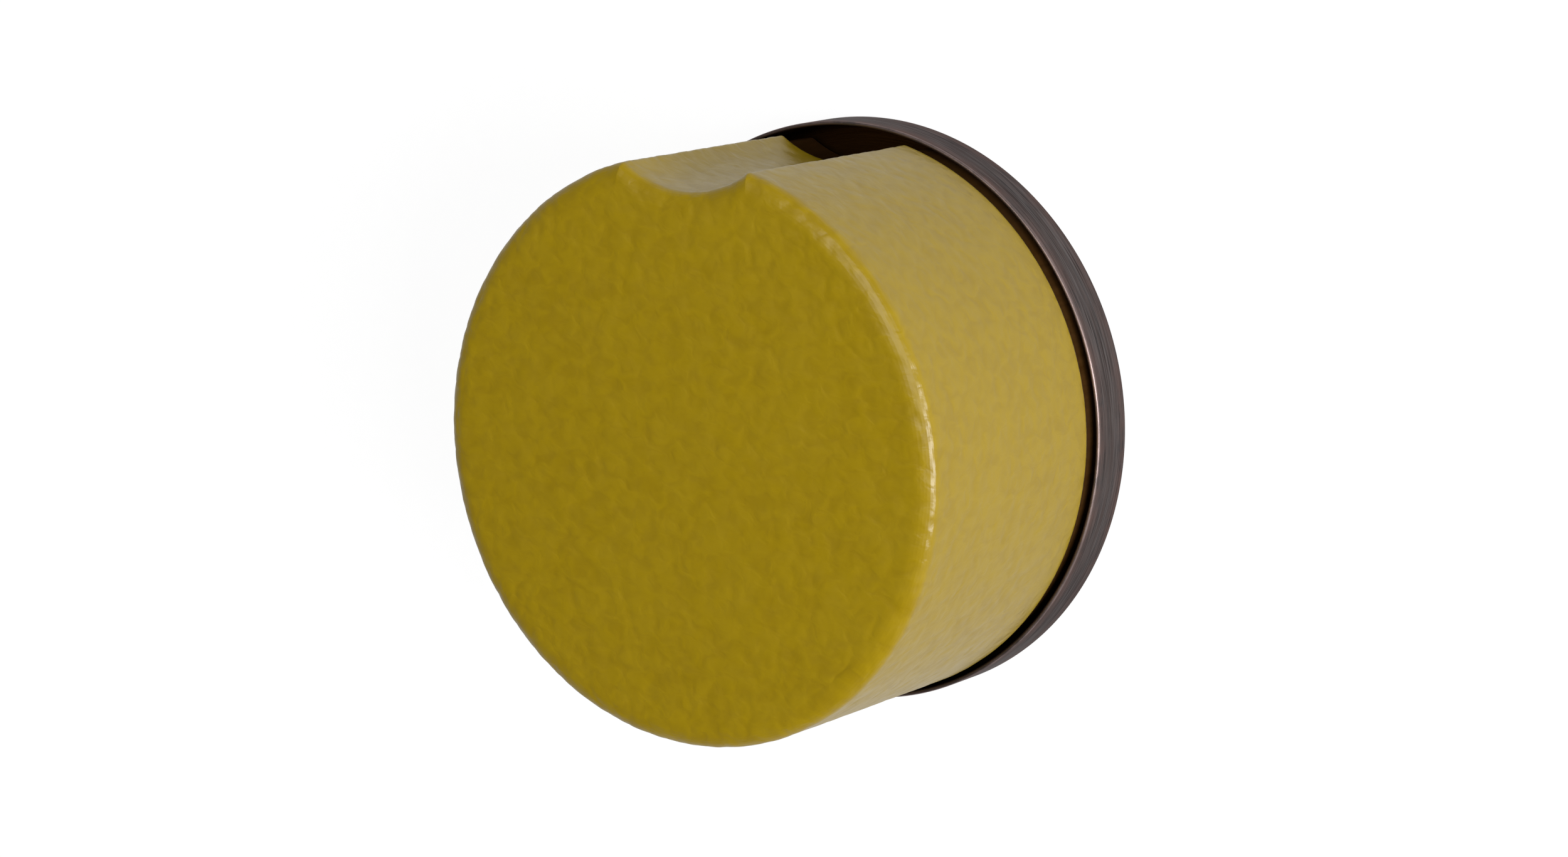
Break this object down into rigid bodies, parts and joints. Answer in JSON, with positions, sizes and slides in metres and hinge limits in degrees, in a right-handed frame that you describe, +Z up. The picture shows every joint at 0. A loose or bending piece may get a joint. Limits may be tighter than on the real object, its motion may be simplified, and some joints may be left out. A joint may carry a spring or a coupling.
{
  "type": "shoe polish tin",
  "caption": "Deep round tin of shoe polish: a tall lid with a full-height thumb scoop lifts off a pan of wax that stands in a shallow dish.",
  "frame": {"origin": "centre of the underside of the dish, on the surface that the tin stands on", "axes": "+Z up along the tin's axis, towards the flat top of the lid; the thumb scoop faces -Y"},
  "size_m": [0.0822, 0.0822, 0.0474],
  "materials": {
    "lid_lacquer": "mustard lacquer, satin, with a fine leathery wrinkle",
    "liner_board": "off-white pulp board, matte, pressed where the rim of the pan meets it",
    "dish_bronze": "dark bronze, brushed round, worn lighter along its edges",
    "pan_tinplate": "drawn tinplate, bright inside and on its rolled rim, dark brown lacquer outside",
    "polish_wax": "dark brown wax, soft gloss"
  },
  "bodies": {
    "base": {"base_dish": "dish_bronze", "polish_pan": "pan_tinplate", "polish_cake": "polish_wax"},
    "lid": {"lid_shell": "lid_lacquer", "lid_liner": "liner_board"}
  },
  "joints": [
    {"name": "lid_lift", "type": "slide", "parent": "base", "child": "lid", "axis": [0, 0, 1], "range_m": [0, 0.045]}
  ]
}
